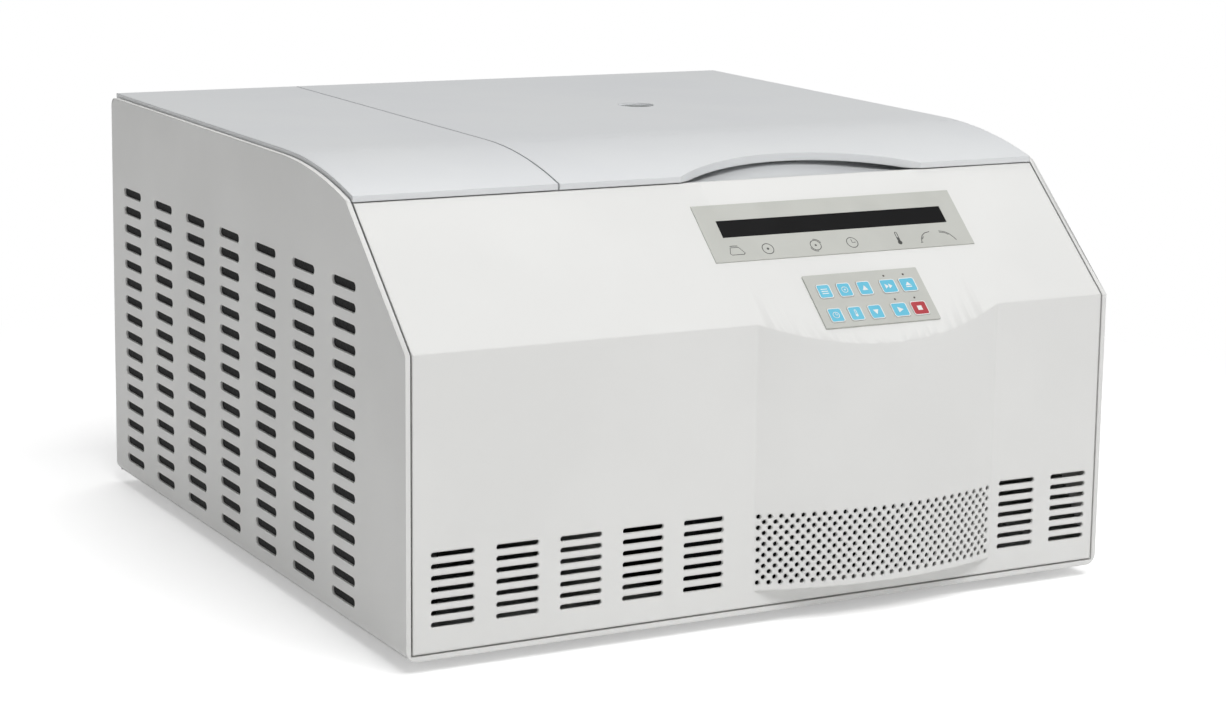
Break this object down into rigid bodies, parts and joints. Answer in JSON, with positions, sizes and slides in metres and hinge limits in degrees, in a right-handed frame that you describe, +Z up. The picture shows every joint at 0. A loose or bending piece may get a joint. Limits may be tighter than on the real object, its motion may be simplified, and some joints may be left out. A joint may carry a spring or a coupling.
{
  "type": "blood bank centrifuge",
  "caption": "Refrigerated bench centrifuge with hinged lid, swing-out bucket rotor, slanted control panel and vented case.",
  "frame": {"origin": "middle of the bounding box at its lowest plane, on the surface that the feet stand on", "axes": "+X to the right seen from the front, the front faces -Y, +Z up"},
  "size_m": [0.64, 0.6601, 0.3615],
  "materials": {
    "case_paint": "fine textured powder coat, light grey white",
    "panel_paint": "satin white moulding",
    "cover_paint": "satin white moulding",
    "grey_scoop": "light grey plastic",
    "steel_sheet": "zinc plated sheet",
    "bowl_steel": "brushed stainless steel",
    "black_rubber": "black rubber",
    "grey_rubber": "grey rubber",
    "foam": "rigid insulating foam",
    "armour_steel": "dark painted steel",
    "copper": "copper tube",
    "motor_paint": "black painted housing",
    "plate_steel": "ground steel",
    "rotor_alloy": "anodised aluminium",
    "bucket_alloy": "satin anodised aluminium",
    "fin_alloy": "dull aluminium fins",
    "black_plastic": "black plastic",
    "board_green": "circuit board",
    "bezel_grey": "satin grey overlay",
    "window_dark": "dark glossy window",
    "key_blue": "light blue membrane key",
    "key_red": "red membrane key",
    "lamp_dark": "dark lamp lens",
    "lining_white": "white vacuum formed tray",
    "port_clear": "clear glass"
  },
  "bodies": {
    "base": {"outer_case": "case_paint", "front_panel": "panel_paint", "rear_panel": "case_paint", "fixed_cover": "cover_paint", "finger_scoop": "grey_scoop", "chamber_deck": "case_paint", "partition_panel": "steel_sheet", "base_plate": "steel_sheet", "rubber_feet": "black_rubber", "foot_screws": "plate_steel", "chamber_bowl": "bowl_steel", "bowl_seal": "grey_rubber", "evaporator_coil": "copper", "foam_jacket": "foam", "armour_ring": "armour_steel", "shaft_seal": "black_rubber", "motor_body": "motor_paint", "motor_mount_plate": "plate_steel", "motor_dampers": "black_rubber", "condenser": "fin_alloy", "fan_frame": "black_plastic", "compressor": "motor_paint", "compressor_grommets": "black_rubber", "drive_box": "fin_alloy", "display_bezel": "bezel_grey", "display_window": "window_dark", "display_board": "board_green", "keypad_plate": "bezel_grey", "indicator_lamps": "lamp_dark", "hinge_brackets": "plate_steel", "hinge_pins": "plate_steel", "latch_housing": "black_plastic", "mains_inlet": "black_plastic"},
    "lid": {"lid_shell": "cover_paint", "lid_lining": "lining_white", "lid_foam": "foam", "port_tube": "grey_scoop", "port_glass": "port_clear", "lid_striker": "plate_steel", "hinge_lugs": "plate_steel"},
    "rotor": {"drive_shaft": "plate_steel", "rotor_yoke": "rotor_alloy", "rotor_nut": "plate_steel"},
    "fan": {"fan_rotor": "black_plastic"},
    "hook": {"latch_hook": "plate_steel"},
    "rocker": {"power_rocker": "key_red"},
    "bucket_1_body": {"bucket_1": "bucket_alloy"},
    "bucket_2_body": {"bucket_2": "bucket_alloy"},
    "bucket_3_body": {"bucket_3": "bucket_alloy"},
    "bucket_4_body": {"bucket_4": "bucket_alloy"},
    "top_key_1": {"key_top_1": "key_blue"},
    "top_key_2": {"key_top_2": "key_blue"},
    "top_key_3": {"key_top_3": "key_blue"},
    "top_key_4": {"key_top_4": "key_blue"},
    "top_key_5": {"key_top_5": "key_blue"},
    "bottom_key_1": {"key_bottom_1": "key_blue"},
    "bottom_key_2": {"key_bottom_2": "key_blue"},
    "bottom_key_3": {"key_bottom_3": "key_blue"},
    "bottom_key_4": {"key_bottom_4": "key_blue"},
    "bottom_key_5": {"key_bottom_5": "key_red"}
  },
  "joints": [
    {"name": "lid_hinge", "type": "hinge", "parent": "base", "child": "lid", "pos_m": [0.095, 0.32005, 0.353], "axis": [-1, 0, 0], "range_deg": [0, 75]},
    {"name": "rotor_spin", "type": "hinge", "parent": "base", "child": "rotor", "pos_m": [0.095, 0.09005, 0.235], "axis": [0, 0, 1], "continuous": true},
    {"name": "fan_spin", "type": "hinge", "parent": "base", "child": "fan", "pos_m": [-0.2695, -0.13495, 0.11], "axis": [1, 0, 0], "continuous": true},
    {"name": "latch_swing", "type": "hinge", "parent": "base", "child": "hook", "pos_m": [0.095, -0.16095, 0.284], "axis": [-1, 0, 0], "range_deg": [0, 40], "stiffness_Nm_per_rad": 0.05, "springref_deg": -22.92},
    {"name": "rocker_tilt", "type": "hinge", "parent": "base", "child": "rocker", "pos_m": [0.21, 0.32205, 0.07], "axis": [-1, 0, 0], "range_deg": [0, 16]},
    {"name": "bucket_1_swing", "type": "hinge", "parent": "rotor", "child": "bucket_1_body", "pos_m": [0.189, 0.09005, 0.245], "axis": [0, -1, 0], "range_deg": [0, 90]},
    {"name": "bucket_2_swing", "type": "hinge", "parent": "rotor", "child": "bucket_2_body", "pos_m": [0.095, 0.18405, 0.245], "axis": [1, 0, 0], "range_deg": [0, 90]},
    {"name": "bucket_3_swing", "type": "hinge", "parent": "rotor", "child": "bucket_3_body", "pos_m": [0.001, 0.09005, 0.245], "axis": [0, 1, 0], "range_deg": [0, 90]},
    {"name": "bucket_4_swing", "type": "hinge", "parent": "rotor", "child": "bucket_4_body", "pos_m": [0.095, -0.00394, 0.245], "axis": [-1, 0, 0], "range_deg": [0, 90]},
    {"name": "key_top_1_press", "type": "slide", "parent": "base", "child": "top_key_1", "axis": [0, 0.6729, -0.7397], "range_m": [0, 0.0005], "stiffness_N_per_m": 800, "springref_m": -0.0004},
    {"name": "key_top_2_press", "type": "slide", "parent": "base", "child": "top_key_2", "axis": [0, 0.6729, -0.7397], "range_m": [0, 0.0005], "stiffness_N_per_m": 800, "springref_m": -0.0004},
    {"name": "key_top_3_press", "type": "slide", "parent": "base", "child": "top_key_3", "axis": [0, 0.6729, -0.7397], "range_m": [0, 0.0005], "stiffness_N_per_m": 800, "springref_m": -0.0004},
    {"name": "key_top_4_press", "type": "slide", "parent": "base", "child": "top_key_4", "axis": [0, 0.6729, -0.7397], "range_m": [0, 0.0005], "stiffness_N_per_m": 800, "springref_m": -0.0004},
    {"name": "key_top_5_press", "type": "slide", "parent": "base", "child": "top_key_5", "axis": [0, 0.6729, -0.7397], "range_m": [0, 0.0005], "stiffness_N_per_m": 800, "springref_m": -0.0004},
    {"name": "key_bottom_1_press", "type": "slide", "parent": "base", "child": "bottom_key_1", "axis": [0, 0.6729, -0.7397], "range_m": [0, 0.0005], "stiffness_N_per_m": 800, "springref_m": -0.0004},
    {"name": "key_bottom_2_press", "type": "slide", "parent": "base", "child": "bottom_key_2", "axis": [0, 0.6729, -0.7397], "range_m": [0, 0.0005], "stiffness_N_per_m": 800, "springref_m": -0.0004},
    {"name": "key_bottom_3_press", "type": "slide", "parent": "base", "child": "bottom_key_3", "axis": [0, 0.6729, -0.7397], "range_m": [0, 0.0005], "stiffness_N_per_m": 800, "springref_m": -0.0004},
    {"name": "key_bottom_4_press", "type": "slide", "parent": "base", "child": "bottom_key_4", "axis": [0, 0.6729, -0.7397], "range_m": [0, 0.0005], "stiffness_N_per_m": 800, "springref_m": -0.0004},
    {"name": "key_bottom_5_press", "type": "slide", "parent": "base", "child": "bottom_key_5", "axis": [0, 0.6729, -0.7397], "range_m": [0, 0.0005], "stiffness_N_per_m": 800, "springref_m": -0.0004}
  ]
}
